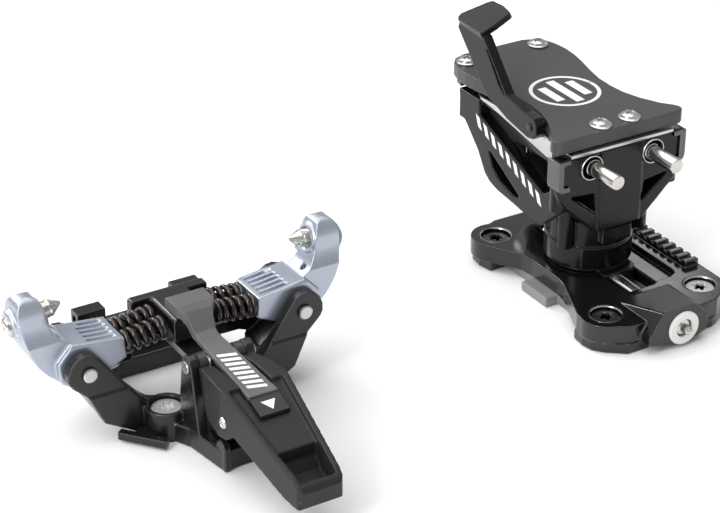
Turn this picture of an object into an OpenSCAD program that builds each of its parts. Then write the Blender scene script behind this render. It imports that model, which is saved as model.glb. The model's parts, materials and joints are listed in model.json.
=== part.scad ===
// Touring binding: a toe unit with two pivoting wings and a turning heel unit.
// The two units stand side by side, both with the ski tip towards -Y.
// Millimetres, Z up, Z = 0 is the top surface of the ski.

/* [Layout] */
// Sideways distance between the centre planes of the two units
unit_gap = 142; // [125:1:200]
// How far both units sit behind the middle of the whole model
unit_y = 6.15; // [5:0.05:7]

/* [Toe unit] */
// Sideways distance of each wing pivot from the centre plane
wing_pivot_x = 34; // [33:0.5:36]
// Height of the wing pivots
wing_pivot_z = 24; // [23:0.5:25]
// Diameter of the wing pivot axles
wing_axle_d = 3; // [2.5:0.1:3.6]
// Diameter of the two pins that hold the boot's toe
toe_pin_d = 5.2; // [4.6:0.1:5.6]
// Outer diameter of a wing spring
spring_d = 7.2; // [6.6:0.1:7.2]
// Height of the lever axle
lever_axle_z = 25; // [24.5:0.5:25.5]
// How far the finished lever reaches in front of its axle
lever_reach = 58; // [50:1:60]

/* [Heel unit] */
// Sideways distance between the two heel pins
heel_pin_gap = 22; // [20:0.5:23]
// Height of the heel pins
heel_pin_z = 48.3; // [47.5:0.1:49]
// Diameter of a heel pin
heel_pin_d = 4.8; // [4.4:0.1:5.2]
// Height of the top of the cap
cap_top = 59; // [58.5:0.1:60]
// Sideways distance between the heel mounting screws
heel_screw_x = 36; // [35:0.5:37]
// Fore-and-aft distance between the heel mounting screws
heel_screw_y = 59.3; // [58:0.1:60]
// Radius of the turning barrel
barrel_r = 13.9; // [13.5:0.1:14.2]

/* [Fasteners] */
// Head diameter of a mounting screw
mount_head_d = 9.4; // [8.6:0.1:9.6]
// Head diameter of a cap screw
cap_head_d = 7; // [6:0.1:7.4]

/* [Hidden] */
$fn = 48;

// A small gap that keeps moving faces apart, and the play of a running fit
gap = 0.3;
run = 0.05;

// The whole model is centred on X = 0: the toe's outer nuts and the heel
// base's right edge are equally far from it
toe_half = 53.21;
heel_half = 26.1;
toe_x = -(unit_gap + toe_half + heel_half) / 2 + toe_half;
heel_x = toe_x + unit_gap;

module in_toe() translate([toe_x, unit_y, 0]) children();
module in_heel() translate([heel_x, unit_y, 0]) children();
module both_sides() { children(); mirror([1, 0, 0]) children(); }

// A side-view outline (points are [y, z]) made w wide, centred on x
module side_slab(points, x, w)
  translate([x - w / 2, 0, 0]) rotate([90, 0, 90]) linear_extrude(w) polygon(points);
// A front-view outline (points are [x, z]) from y0 to y1
module front_slab(points, y0, y1)
  translate([0, y1, 0]) rotate([90, 0, 0]) linear_extrude(y1 - y0) polygon(points);
// Cylinders along X, Y and Z
module rod_z(r, z0, z1, x, y) translate([x, y, z0]) cylinder(r = r, h = z1 - z0);
module rod_x(r, x0, x1, y, z) translate([x0, y, z]) rotate([0, 90, 0]) cylinder(r = r, h = x1 - x0);
module rod_y(r, y0, y1, x, z) translate([x, y1, z]) rotate([90, 0, 0]) cylinder(r = r, h = y1 - y0);

// ---------------------------------------------------------------- toe unit
toe_screw = [12.5, -6.9];
toe_rear_screw = [15, 28.6];
axle_y = -16;
axle_r = 2;
pin_y = 8.3;
wing_y0 = -0.5;
wing_y1 = 13.6;
ear_y0 = -5;
ear_y1 = -1.2;
rear_ear_y0 = 14.6;
rear_ear_y1 = 17.6;
spring_y = [2.5, 9.9];
spring_x = 20.8;
spring_z = 26.8;
spring_tilt = 6;
spring_len = 11.4;
block_half = 6.3;
tab_at = [-21.4, -9.8, 0.6];
tab_angle = -51;

// Outline of one wing ear, seen from the front
ear_outline = [
  [22.4, 16.5], [30.2, 27.4], [31.4, 28.8], [33, 29.7], [35.2, 30], [37.4, 29.3],
  [39.2, 27.6], [40.3, 25], [40.3, 22.6], [39.3, 20.8], [34.8, 16.5]
];
arm_outline = [
  [13, 0], [18.5, 0], [30.4, 7], [34.8, 16.5], [22.4, 16.5], [18.6, 12.2], [16, 10], [13, 9]
];

module toe_base_arm() {
  // floor under the wing joins the front and the rear ear
  front_slab([[24, 6], [30.4, 7.6], [34.8, 16.5], [31, 15], [24, 10.5]], ear_y1, rear_ear_y0);
  front_slab(arm_outline, ear_y0, ear_y1 + 0.4);
  front_slab(ear_outline, ear_y0 + 0.6, ear_y1);
  front_slab([[12.5, 12.4], [22, 12.2], [31, 9], [34.8, 16.5], [22.4, 16.5], [12.5, 16]],
    rear_ear_y0 - 0.5, rear_ear_y1 + 0.6);
  side_slab([[rear_ear_y0 - 0.5, 12.4], [18.2, 12.4], [24.5, 6], [24.5, 0], [33.9, 0], [33.9, 9], [26, 12], [19, 16],
    [rear_ear_y0 - 0.5, 16]], 17, 9);
  front_slab(ear_outline, rear_ear_y0, rear_ear_y1);
}

module toe_base() in_toe() color([0.12, 0.12, 0.13]) difference() {
  union() {
    // front plate with the nose, and the rear plate
    linear_extrude(6) polygon([
      [8.4, -33.4], [10.8, -18], [13.4, -12.5], [18.4, -6.5], [18.4, -1.5], [13, 0.2], [-13, 0.2],
      [-18.4, -1.5], [-18.4, -6.5], [-13.4, -12.5], [-10.8, -18], [-8.4, -33.4]
    ]);
    translate([-21.5, 25, 0]) cube([43, 9, 6]);
    both_sides() {
      toe_base_arm();
      translate([toe_screw[0], toe_screw[1], 0]) cylinder(r = 6.2, h = 9);
      // ear of the lever axle
      side_slab([[-22.4, 5], [-18.8, 25.6], [-17.8, 27.6], [-16, 28.4], [-14.2, 27.8], [-13.2, 26],
        [-9.5, 5]], 8.7, 3);
      // cheek of the nose
      side_slab([[-34.4, 0], [-34.4, 7.2], [-33.4, 8.6], [-31.8, 9.2], [-30.2, 8.6], [-28.8, 6.8],
        [-26.5, 5.8], [-20, 5.8], [-18, 0]], 7.5, 2);
    }
    // rear wall that carries the crampon bracket
    translate([-21.5, 31, 0]) cube([43, 3, 9]);
  }
  both_sides() {
    rod_y(wing_axle_d / 2 + run, ear_y0 - 1, rear_ear_y1 + 2, wing_pivot_x, wing_pivot_z);
    translate([toe_screw[0], toe_screw[1], -1]) cylinder(r = 2.8, h = 20);
    translate([toe_screw[0], toe_screw[1], 6]) cylinder(r = mount_head_d / 2 + 0.25, h = 10);
    translate([toe_rear_screw[0], toe_rear_screw[1], -1]) cylinder(r = 2.8, h = 20);
    translate([toe_rear_screw[0], toe_rear_screw[1], 5]) cylinder(r = mount_head_d / 2 + 0.25, h = 14);
  }
  rod_x(axle_r + run, -12, 12, axle_y, lever_axle_z);
  // pocket of the leash tab
  translate([tab_at[0], tab_at[1], 0]) rotate([0, 0, tab_angle]) translate([-3.05, -1, -1]) cube([6.1, 6.65, 4.1]);
  // slot of the anti-ice block in the nose
  translate([-6.2, -29.6, 3.2]) cube([12.4, 8, 10]);
}

// A pan-head mounting screw; its head rests on a floor at height z
module mounting_screw(z) difference() {
  union() {
    translate([0, 0, z]) cylinder(r = mount_head_d / 2, h = 2);
    translate([0, 0, z + 2]) cylinder(r1 = mount_head_d / 2, r2 = mount_head_d / 2 - 0.8, h = 0.6);
    translate([0, 0, 0.4]) cylinder(r = 2.7, h = z);
  }
  for (a = [0, 60, 120]) translate([0, 0, z + 1.4]) rotate([0, 0, a]) translate([-2.2, -0.5, 0]) cube([4.4, 1, 2]);
}

module toe_mounting_screws() in_toe() color("silver") both_sides() {
  translate([toe_screw[0], toe_screw[1], 0]) mounting_screw(6);
  translate([toe_rear_screw[0], toe_rear_screw[1], 0]) mounting_screw(5);
}

module crampon_bracket() in_toe() color([0.08, 0.08, 0.08]) {
  translate([-20.4, 34.02, 3]) cube([40.8, 1.6, 13]);
  both_sides() {
    translate([11.4, 34.02, 3]) cube([9, 1.6, 16.6]);
    translate([11.4, 34.02, 18.2]) cube([9, 5, 1.4]);
    translate([11.4, 37.8, 15.2]) cube([9, 1.25, 4]);
    translate([11.4, 35, 13]) cube([9, 4.05, 1.4]);
  }
}

module leash_tab() in_toe() color([0.2, 0.2, 0.2]) translate(tab_at) rotate([0, 0, tab_angle]) {
  translate([-7.4, -1.2, 0]) cube([14.8, 2.4, 2.4]);
  translate([-3, 0, 0]) cube([6, 5.6, 2.4]);
}

module anti_ice_block() in_toe() color([0.06, 0.06, 0.06]) {
  side_slab([[-29.2, 3.25], [-29, 8.4], [-26, 12], [-22.6, 12], [-21.9, 3.25]], 0, 12);
}

module wing_axle() rod_y(wing_axle_d / 2, ear_y0 - 0.2, rear_ear_y1 + 0.8, wing_pivot_x, wing_pivot_z);
module wing_axle_left() in_toe() color("silver") mirror([1, 0, 0]) wing_axle();
module wing_axle_right() in_toe() color("silver") wing_axle();
module lever_axle() in_toe() color("silver") rod_x(axle_r, -10.7, 10.7, axle_y, lever_axle_z);

// The right wing: inner block, hub and the outer arm that carries the boot pin
wing_front_view = [
  [21.2, 30], [20.7, 23.6], [28, 20.2], [32, 18], [36, 18.2], [40.5, 20.6], [44.6, 24.4], [47.4, 28.6],
  [49.2, 33.4], [50.3, 39], [50.4, 43], [49.2, 45.6], [46.6, 46.6], [44.2, 45.9], [43, 43.6],
  [42.4, 40], [41.2, 36.6], [39.2, 33.6], [36.6, 31.8]
];
wing_side_view = [
  [wing_y0, 16], [wing_y0, 30.8], [1.6, 34], [3, 38], [3.4, 42], [4.8, 45.2], [7, 46.6], [9.6, 46.6],
  [11.8, 45.2], [13, 42], [13.2, 34], [wing_y1, 30], [wing_y1, 16]
];
pin_tilt = 13;
pin_root = [42.4, 40];
module at_pin() translate([pin_root[0], pin_y, pin_root[1]]) rotate([0, -90 + pin_tilt, 0]) children();
module wing() difference() {
  intersection() {
    front_slab(wing_front_view, wing_y0, wing_y1);
    side_slab(wing_side_view, 36, 40);
  }
  // front face of the outer arm falls away behind the ear
  front_slab([[40.6, 12], [60, 12], [60, 60], [36.8, 60], [36.8, 31.9], [41.4, 27]], -3, 1.4);
  rod_y(wing_axle_d / 2 + run, -5, 20, wing_pivot_x, wing_pivot_z);
  at_pin() translate([0, 0, -14]) cylinder(r = 1.75, h = 16);
  at_pin() translate([0, 0, 0.02]) cylinder(r = toe_pin_d / 2 + 0.6, h = 6);
  at_pin() translate([0, 0, -14]) cylinder(r = 3.3, h = 6.4);
  // grooves on top of the inner block
  for (i = [0:4]) translate([23, 1.3 + i * 2.4, 29]) cube([8, 1.1, 4]);
  // blind holes of the spring rods
  at_springs() translate([0, 0, -7]) cylinder(r = 1.65, h = 8);
}
module wing_left() in_toe() color([0.66, 0.7, 0.76]) mirror([1, 0, 0]) wing();
module wing_right() in_toe() color([0.66, 0.7, 0.76]) wing();

// The boot pin: cone, round body and a stem that the nut holds from outside
module toe_pin() at_pin() {
  translate([0, 0, -10]) cylinder(r = 1.7, h = 10.1);
  translate([0, 0, 0.05]) cylinder(r = toe_pin_d / 2, h = 3);
  translate([0, 0, 3.04]) cylinder(r1 = toe_pin_d / 2, r2 = 0.5, h = 3.5);
}
module toe_pin_left() in_toe() color("silver") mirror([1, 0, 0]) toe_pin();
module toe_pin_right() in_toe() color("silver") toe_pin();

module toe_pin_nut() at_pin() difference() {
  translate([0, 0, -10.4]) cylinder(r = 3, h = 2.7);
  translate([0, 0, -12]) cylinder(r = 1.75, h = 5);
}
module toe_pin_nut_left() in_toe() color("silver") mirror([1, 0, 0]) toe_pin_nut();
module toe_pin_nut_right() in_toe() color("silver") toe_pin_nut();

// Places its children on each spring axis, pointing from the wing to the middle
module at_springs() for (y = spring_y)
  translate([spring_x, y, spring_z]) rotate([0, -90 + spring_tilt, 0]) children();
module wing_springs() at_springs() difference() {
  cylinder(r = spring_d / 2, h = spring_len);
  translate([0, 0, -1]) cylinder(r = spring_d / 2 - 1.4, h = spring_len + 2);
}
module wing_springs_left() in_toe() color([0.2, 0.17, 0.16]) mirror([1, 0, 0]) wing_springs();
module wing_springs_right() in_toe() color([0.2, 0.17, 0.16]) wing_springs();
module spring_rods() at_springs() {
  translate([0, 0, -5]) cylinder(r = 1.6, h = spring_len + 5.1);
  translate([0, 0, spring_len + 0.02]) cylinder(r = 3.5, h = 2);
}
module spring_rods_left() in_toe() color([0.1, 0.1, 0.1]) mirror([1, 0, 0]) spring_rods();
module spring_rods_right() in_toe() color([0.1, 0.1, 0.1]) spring_rods();

module centre_block() in_toe() color([0.2, 0.2, 0.21]) {
  // the underside rises towards the front, over the lift fork
  intersection() {
    front_slab([[-block_half, 22], [block_half, 22], [block_half, 30.5], [block_half - 1, 31.5],
      [1 - block_half, 31.5], [-block_half, 30.5]], -1.4, 14.05);
    side_slab([[-1.4, 24.2], [1.4, 22.8], [4.4, 22], [14.05, 22], [14.05, 31.5], [-1.4, 31.5]], 0, 14);
  }
  front_slab([[-12.2, 20], [12.2, 20], [12.2, 31], [11.7, 31.5], [-11.7, 31.5], [-12.2, 31]], 14, 17);
}

// The finger lever: its side view trimmed to its plan
lever_tip = axle_y - lever_reach;
lever_side = [
  [-19.6, 26], [-22, 27], [-28, 28], [-37, 28.4], [-70, 17.8], [lever_tip + 1.2, 16.2],
  [lever_tip + 0.3, 15], [lever_tip + 1.6, 9.3], [-66, 9.7], [-42, 16.4], [-38.6, 13.6],
  [-34, 12.6], [-27, 13.6], [-22.4, 17]
];
lever_plan = [
  [8.2, -18], [8.3, -21], [9.6, -27], [10.3, -36], [10, -40], [6.9, lever_tip + 2], [5.4, lever_tip],
  [-5.4, lever_tip], [-6.9, lever_tip + 2], [-10, -40], [-10.3, -36], [-9.6, -27], [-8.3, -21], [-8.2, -18]
];
module toe_lever() in_toe() color([0.22, 0.22, 0.22]) difference() {
  intersection() {
    side_slab(lever_side, 0, 24);
    linear_extrude(60) polygon(lever_plan);
  }
  // groove of the arm, recess along the top and the finger pocket
  translate([-4.8, -44, 25.7]) cube([9.6, 30, 9]);
  intersection() {
    side_slab([[-37.6, 33], [-37.6, 26.9], [-71.4, 16.1], [-71.4, 33]], 0, 24);
    linear_extrude(60) polygon([[8.2, -37.4], [5.1, -72.5], [-5.1, -72.5], [-8.2, -37.4]]);
  }
  intersection() {
    side_slab([[-59.6, 33], [-59.6, 16], [-62, 12.6], [-70.6, 11.6], [-71.2, 33]], 0, 24);
    linear_extrude(60) polygon([[5.6, -59], [6.2, -61.4], [5, -71.4], [-5, -71.4], [-6.2, -61.4], [-5.6, -59]]);
  }
  // rivet holes and the slot of the metal tongue
  rod_x(1.85, -12, 12, -37, 18.4);
  translate([-4.45, -41, 20.5]) cube([8.9, 24, 2]);
  // hollow underneath
  intersection() {
    side_slab([[-24, 5], [-24, 22.6], [-42, 23.4], [-58, 14.6], [-66, 5]], 0, 24);
    linear_extrude(60) polygon([[6.8, -24], [7.6, -40], [4.6, -66], [-4.6, -66], [-7.6, -40], [-6.8, -24]]);
  }
}

module lever_arm() in_toe() color([0.42, 0.42, 0.43]) difference() {
  side_slab([[5, 32.6], [5, 35.2], [3.9, 36.2], [-2.4, 36.2], [-4.6, 34.8], [-8.2, 29.8], [-10, 28.9], [-19, 28.5],
    [-41.8, 27.3], [-41.8, 25.9], [-22, 26.7], [-19, 27.2], [-8.2, 27.2], [-6.8, 28], [-3.4, 32.6]], 0, 12);
  // narrow neck and strap
  both_sides() translate([0, 0, 20]) linear_extrude(30)
    polygon([[8, -2], [5.9, -2.6], [4, -5.2], [3.3, -8.4], [4.7, -46], [8, -46]]);
}
// Window plate in front of the arm's end
module lever_window() in_toe() color([0.03, 0.03, 0.03])
  side_slab([[-41.85, 25.75], [-41.85, 26.8], [-43, 26.6], [-48.6, 24.9], [-48.6, 23.8], [-44.2, 25.2], [-44, 25.75]], 0, 9.2);
module lift_fork() in_toe() color("silver") difference() {
  union() {
    rod_x(3.3, -4.4, 4.4, axle_y, lever_axle_z);
    side_slab([[-17, 22.4], [-14.2, 22.8], [-11.4, 21.4], [10, 21.4], [10, 19.2], [-12, 19]], 0, 8.8);
    translate([-4.4, -40, 20.55]) cube([8.8, 24, 1.9]);
  }
  translate([-6, -20, 27.1]) cube([12, 8, 3]);
  rod_x(axle_r + run, -6, 6, axle_y, lever_axle_z);
}
module lever_spacers() in_toe() color([0.1, 0.1, 0.1]) both_sides() difference() {
  rod_x(3.1, 4.5, 7, axle_y, lever_axle_z);
  rod_x(axle_r + run, 4, 8, axle_y, lever_axle_z);
}
module lever_rivets() in_toe() color("silver") both_sides() rod_x(1.8, 7.7, 10.35, -37, 18.4);

// --------------------------------------------------------------- heel unit
spindle_z = 6.4;
spindle_r = 2.5;
turn_y = 4.8;
base_t = 9;
travel = 10;
post_r = 7;

module heel_screw_spots() for (x = [-1, 1]) for (y = [-1, 1])
  translate([x * heel_screw_x / 2, y * heel_screw_y / 2, 0]) children();

module heel_base() in_heel() color([0.12, 0.12, 0.13]) difference() {
  union() {
    translate([0, 0, 3.1]) linear_extrude(base_t - 3.1) union() {
      heel_screw_spots() circle(r = 8.1);
      polygon([
        [13, -40], [17, -39.4], [22.4, -36], [25.4, -32.6], [26.1, -29], [26.1, 29], [24.6, 34], [13, 38.4],
        [-13, 38.4], [-24.6, 34], [-26.1, 29], [-25.4, 26.4], [-18.2, 15], [-17.5, 10], [-17.5, -4],
        [-18.2, -8], [-25.4, -25], [-26.1, -29], [-25.4, -32.6], [-22.4, -36], [-17, -39.4], [-13, -40]
      ]);
    }
    // feet under the screws
    linear_extrude(3.2) polygon([[15, -40.2], [17, -39.4], [22.4, -36], [25.4, -32.6], [25.9, -24], [-25.4, -24],
      [-25.9, -29], [-25.2, -32.6], [-22.4, -36], [-17, -40.2]]);
    linear_extrude(3.2) polygon([[25.4, 24], [25.9, 29], [24.6, 34], [13, 38.4], [-13, 38.4], [-24, 34],
      [-24.6, 29], [-23.6, 24]]);
    // raised boss round the front end of the spindle
    intersection() {
      front_slab([[-12.4, 3.1], [-12.4, 6], [-7.6, 13.3], [4.6, 13.3], [9.2, 9], [9.2, 3.1], [6, 1.6], [-6, 1.6]],
        -44.4, -24);
      side_slab([[-44.4, 1], [-44.4, 13.3], [-25, 9.05], [-24, 9], [-24, 1]], 0, 60);
    }
    // toothed strip on the right edge
    for (i = [0:8]) translate([20.5, -19.2 + i * 3.7, base_t - 0.1]) cube([5.1, 2.1, 2.2]);
    translate([20.5, -19.2, base_t - 0.1]) cube([5.1, 32, 1.2]);
  }
  // channel of the carriage with its opening in the top
  translate([-9, -22.3, -1]) cube([18, 49.6, 8]);
  translate([0, 0, -1]) linear_extrude(20) union() {
    translate([-5, -22.3]) square([10, 49.6]);
    translate([-5, -18.3]) square([14, 45.6]);
    translate([5, -18.3]) circle(r = 4);
  }
  // shallow trough beside the opening
  translate([0, 0, base_t - 1.8]) linear_extrude(5) polygon([[0, -21], [13, -21], [16, -19.6], [16.6, -17],
    [16.6, 24], [0, 24]]);
  rod_y(spindle_r + run, -46, -20, 0, spindle_z);
  rod_y(spindle_r + run, 20, 34, 0, spindle_z);
  heel_screw_spots() {
    translate([0, 0, -1]) cylinder(r = 2.8, h = 20);
    translate([0, 0, base_t - 3]) cylinder(r = mount_head_d / 2 + 0.5, h = 10);
  }
}
module heel_base_pad() in_heel() color([0.5, 0.5, 0.5]) difference() {
  union() {
    translate([-17.4, -23.6, 0]) cube([34.8, 47.2, 3.08]);
    translate([-22, -4.5, 0]) cube([44, 13.5, 3.08]);
  }
  translate([-9.2, -24, -1]) cube([18.4, 48, 6]);
}
module heel_mounting_screws() in_heel() color([0.4, 0.4, 0.4]) heel_screw_spots() mounting_screw(base_t - 3);
module adjuster_spindle() in_heel() color("silver") {
  rod_y(spindle_r, -44.4, 33.4, 0, spindle_z);
  // drive tip
  rod_y(1.25, -48.3, -44.3, 0, spindle_z);
}
module spindle_washer() in_heel() color("white") difference() {
  rod_y(5.4, -45.35, -44.42, 0, spindle_z);
  rod_y(spindle_r + 0.4, -46, -44, 0, spindle_z);
}
module carriage() in_heel() color([0.1, 0.1, 0.1]) difference() {
  union() {
    translate([-8.7, -11, 0.6]) cube([17.4, 27, 6.1]);
    translate([-4.7, -11, 0.6]) cube([13.4, 27, base_t - 0.3]);
    translate([0, turn_y, base_t + 0.25]) cylinder(r = 12.9, h = 0.8);
    translate([0, turn_y, base_t]) cylinder(r = post_r, h = 15.6);
  }
  rod_y(spindle_r + run, -20, 30, 0, spindle_z);
  // rounded front corner
  translate([4.7, -11.1, 0]) difference() {
    cube([5, 4, 30]);
    translate([0, 4, -1]) cylinder(r = 4, h = 40);
  }
  // groove of the retaining ring
  translate([0, turn_y, 22.4]) difference() {
    cylinder(r = 9, h = 1);
    translate([0, 0, -1]) cylinder(r = 6, h = 3);
  }
}
module post_circlip() in_heel() color("silver") translate([0, turn_y, 22.45]) difference() {
  cylinder(r = 8.4, h = 0.9);
  translate([0, 0, -1]) cylinder(r = 6.05, h = 3);
  translate([0, -1.5, -1]) cube([20, 3, 3]);
}

// Outline of the side frames, seen from the side
frame_side = [
  [-6.6, 52.8], [-6.6, 36], [-3.6, 31.4], [4, 24.6], [9, 23.6], [17.6, 24.8], [28.6, 25.8], [33, 27],
  [35.9, 29], [40.2, 35.4], [48.5, 43.4], [50.9, 46.8], [51.5, 52.8]
];
// Outline of the front wall, seen from the front (right half)
wall_half = [[0, 25.2], [7.4, 25.2], [9.4, 25.6], [19.8, 35.4], [22.4, 38.6], [23.3, 41.6], [23.4, 52.8], [0, 52.8]];

module tower_frame() in_heel() color([0.1, 0.1, 0.1]) difference() {
  union() {
    translate([0, turn_y, 10.3]) cylinder(r = barrel_r, h = 7.5);
    translate([0, turn_y, 10.3]) cylinder(r = barrel_r - 0.35, h = 16.4);
    both_sides() {
      side_slab(frame_side, 17, 4);
      front_slab(wall_half, -9.7, -5.6);
      translate([14, -2, 18.4]) cylinder(r = 2.7, h = 24);
      translate([20.8, -6.6, 34.6]) cylinder(r = 2.6, h = 9);
    }
    // body between the side frames and behind the front wall
    side_slab([[-8, 27], [-8, 43.8], [51, 43.8], [40, 34.8], [35, 29], [28, 26.6], [16, 25.4]], 0, 21);
    front_slab([[-8, 25.4], [8, 25.4], [8, 52.8], [-8, 52.8]], -10.3, -6);
    front_slab([[-5.4, 20], [5.4, 20], [5.4, 26], [-5.4, 26]], -10, -6);
    // rear wall
    translate([-19, 47.2, 43]) cube([38, 4, 9.8]);
    // housing of the lateral release at the back of the barrel
    rod_y(6.4, 12, 29, 0, 18);
  }
  translate([0, turn_y, 9]) cylinder(r = post_r + run, h = 16.2);
  translate([0, turn_y, 22]) cylinder(r = 8.7, h = 1.8);
  // room for the post's ring to be put in from above
  both_sides() {
    // window in the front wall
    front_slab([[18.8, 39.5], [9.4, 38.5], [8.6, 31.4]], -12, 1);
    // hole that the heel pin leaves through, wide enough for it to swing outward
    rod_y(3.6, -12, 0, heel_pin_gap / 2 + 0.5, heel_pin_z);
    // windows in the side frame
    side_slab([[39.4, 51.2], [39.4, 47.8], [3.9, 35.3], [0, 38], [0, 51.2]], 17, 8);
    side_slab([[34.2, 38.2], [31.2, 32.4], [27.6, 29.8], [19, 27.6], [16, 28.6]], 17, 8);
    // groove of the plate's side flange
    translate([17.75, 0.3, 51]) cube([4, 39.4, 4]);
    // foot wells of the vertical pivots
    rod_z(1.55, 40, 46, heel_pin_gap / 2, 22);
    // holes of the release screws
    rod_y(2.6, 46, 52, 8, 48.4);
  }
  // holes of the lateral release
  rod_y(4.2, 17.5, 30, 0, 18);
}
module spring_housing() in_heel() color([0.12, 0.12, 0.12]) difference() {
  union() {
    translate([-14.8, 17, 43.85]) cube([29.6, 30.2, 1]);
    both_sides() side_slab([[4, 43.85], [21, 50], [21, 52.7], [47.15, 52.7], [47.15, 43.85]], 14.6, 0.5);
    translate([-3, 27, 43.85]) cube([6, 20.1, 8.8]);
  }
  both_sides() rod_z(1.55, 43, 46, heel_pin_gap / 2, 22);
}
module steel_plate() in_heel() color("silver") difference() {
  union() {
    translate([0, 0, 52.85]) linear_extrude(1) polygon([[19.2, -10.2], [19, -2], [18.6, 0.5], [18.6, 39.5], [14, 50],
      [-14, 50], [-18.6, 39.5], [-18.6, 0.5], [-19, -2], [-19.2, -10.2]]);
    both_sides() side_slab([[0.5, 48.8], [0.5, 53.6], [5, 54.5], [39.5, 54], [39.5, 53.4], [30, 52.2], [3, 48]], 18.2, 0.8);
  }
  both_sides() translate([18, 0, 47]) cube([0.9, 0.5, 7]);
}
cap_half = [
  [19, -9.4], [22.3, -9.2], [23.6, -8.2], [24.1, -6.6], [23.3, -4.8], [20.4, -1.2], [17.4, 4.9], [15.6, 11],
  [15.1, 17], [15.4, 23.5], [16.8, 30.3], [18.6, 37], [19.8, 43], [20.2, 48], [19.8, 53], [18.6, 57],
  [16, 60], [12, 61.4]
];
// The cap is a little narrower at the rear of the lifter's side
function cap_left(p) = [-p[0] * (1 - 0.06 * min(max(p[1] - 25, 0), 14) / 14), p[1]];
module cap() in_heel() color([0.4, 0.4, 0.4]) difference() {
  union() {
    translate([0, 0, 54.6]) linear_extrude(cap_top - 54.6)
      polygon(concat(cap_half, [for (i = [len(cap_half) - 1:-1:0]) cap_left(cap_half[i])]));
    // skirt behind the tower
    translate([0, 0, 52.6]) linear_extrude(3) polygon([[18.2, 52], [18, 56], [15, 59], [12, 60.4], [-12, 60.4], [-14.6, 58.6],
      [-17.2, 55.6], [-18, 52]]);
    translate([0, 0, 53.9]) linear_extrude(1) polygon([[14, -8.6], [14, 50.4], [-14, 50.4], [-14, -8.6]]);
  }
  both_sides() for (p = [[5.4, -5.5], [13.8, 55]]) translate([p[0], p[1], 54]) cylinder(r = 2, h = 8);
  // hole of the lifter pin
  rod_x(1.25, -20, -9.5, 8, 56.9);
}
module cap_screws() in_heel() color("silver") both_sides() for (p = [[5.4, -5.5], [13.8, 55]])
  translate([p[0], p[1], 0]) difference() {
    union() {
      translate([0, 0, cap_top + 0.02]) cylinder(r = cap_head_d / 2, h = 0.7);
      translate([0, 0, cap_top + 0.7]) cylinder(r = 2.7, h = 0.8);
      translate([0, 0, cap_top + 1.5]) cylinder(r1 = 2.7, r2 = 1.9, h = 0.9);
      translate([0, 0, 54.2]) cylinder(r = 1.95, h = 5);
    }
    for (a = [0, 60, 120]) translate([0, 0, cap_top + 1.3]) rotate([0, 0, a]) translate([-1.2, -0.3, 0]) cube([2.4, 0.6, 2]);
  }
module side_clips() in_heel() color("silver") both_sides() difference() {
  front_slab([[19.4, 52.7], [19.4, 51.2], [21.5, 51.2], [21.8, 50.8], [21.8, 44.2], [21.4, 43.8], [19.4, 43.8],
    [19.4, 42], [22.4, 42], [23.6, 43], [24, 44.4], [24, 52.7]], -10.6, -4.8);
  // the wall's corner inside the clip
  front_slab([[0, 30], [23.42, 30], [23.42, 60], [0, 60]], -9.72, -3);
}
module heel_pin() difference() {
  union() {
    rod_y(heel_pin_d / 2, -23, -10.7, heel_pin_gap / 2, heel_pin_z);
    rod_y(heel_pin_d / 2 + 0.2, -10.7, 21, heel_pin_gap / 2, heel_pin_z);
    rod_z(3, 45, 51.6, heel_pin_gap / 2, 22);
  }
  rod_z(1.55, 40, 60, heel_pin_gap / 2, 22);
}
module heel_pin_left() in_heel() color("silver") mirror([1, 0, 0]) heel_pin();
module heel_pin_right() in_heel() color("silver") heel_pin();
module heel_pin_pivots() in_heel() color("silver") both_sides() rod_z(1.5, 40.1, 52.7, heel_pin_gap / 2, 22);
module release_block() in_heel() color([0.6, 0.6, 0.6]) translate([-13.2, 26, 45.2]) cube([26.4, 0.9, 6.6]);
module release_springs() in_heel() color([0.2, 0.17, 0.16]) both_sides() difference() {
  rod_y(3.4, 27, 43.4, 8, 48.4);
  rod_y(2.3, 26, 45, 8, 48.4);
}
module release_screw() difference() {
  union() {
    rod_y(2.5, 43.6, 51.6, 8, 48.4);
    rod_y(3.6, 51.5, 53, 8, 48.4);
  }
  translate([4, 52.4, 48]) cube([8, 2, 0.8]);
}
module release_screw_left() in_heel() color("silver") mirror([1, 0, 0]) release_screw();
module release_screw_right() in_heel() color("silver") release_screw();
module lateral_screw() in_heel() color("silver") difference() {
  union() {
    rod_y(4.15, 26.4, 29.6, 0, 18);
    rod_y(6.5, 29.3, 35.8, 0, 18);
  }
  translate([-4, 35, 17.4]) cube([8, 2, 1.2]);
}
module lateral_spring() in_heel() color([0.2, 0.17, 0.16]) difference() {
  rod_y(3.7, 20.6, 26.3, 0, 18);
  rod_y(2.5, 20, 27, 0, 18);
}
module lateral_plunger() in_heel() color("silver") rod_y(3.9, 17.6, 20.5, 0, 18);

lifter_axle = [8, 56.9];
module heel_lifter() in_heel() color([0.1, 0.1, 0.1]) difference() {
  union() {
    side_slab([[48.4, 75.3], [47.6, 77.6], [35.5, 77.3], [34, 76.8], [21, 62.4], [11, 60.6], [6, 60.2], [4.6, 58.6],
      [4.4, 55.4], [6, 53.6], [9, 53], [20, 54.8], [30, 58], [33.6, 60.2]], -20.35, 3.3);
    translate([-22, 0, 76.2]) rotate([0, -29, 0]) linear_extrude(2.2) polygon([[0, 34.4],
      [0.4, 47.6], [1.6, 48.8], [3, 48.9], [11, 44.4], [12.1, 43.2], [12.3, 37.6], [11.6, 33.4], [10.8, 33], [5, 33.4]]);
  }
  rod_x(1.25, -24, -17, lifter_axle[0], lifter_axle[1]);
  // long slot in the outer face
  side_slab([[33.4, 74.6], [31.4, 73.2], [20.6, 60.8], [25.4, 64.6]], -22, 2.8);
}
module lifter_pin() in_heel() color("silver") {
  rod_x(1.2, -22.4, -10, lifter_axle[0], lifter_axle[1]);
}

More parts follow.
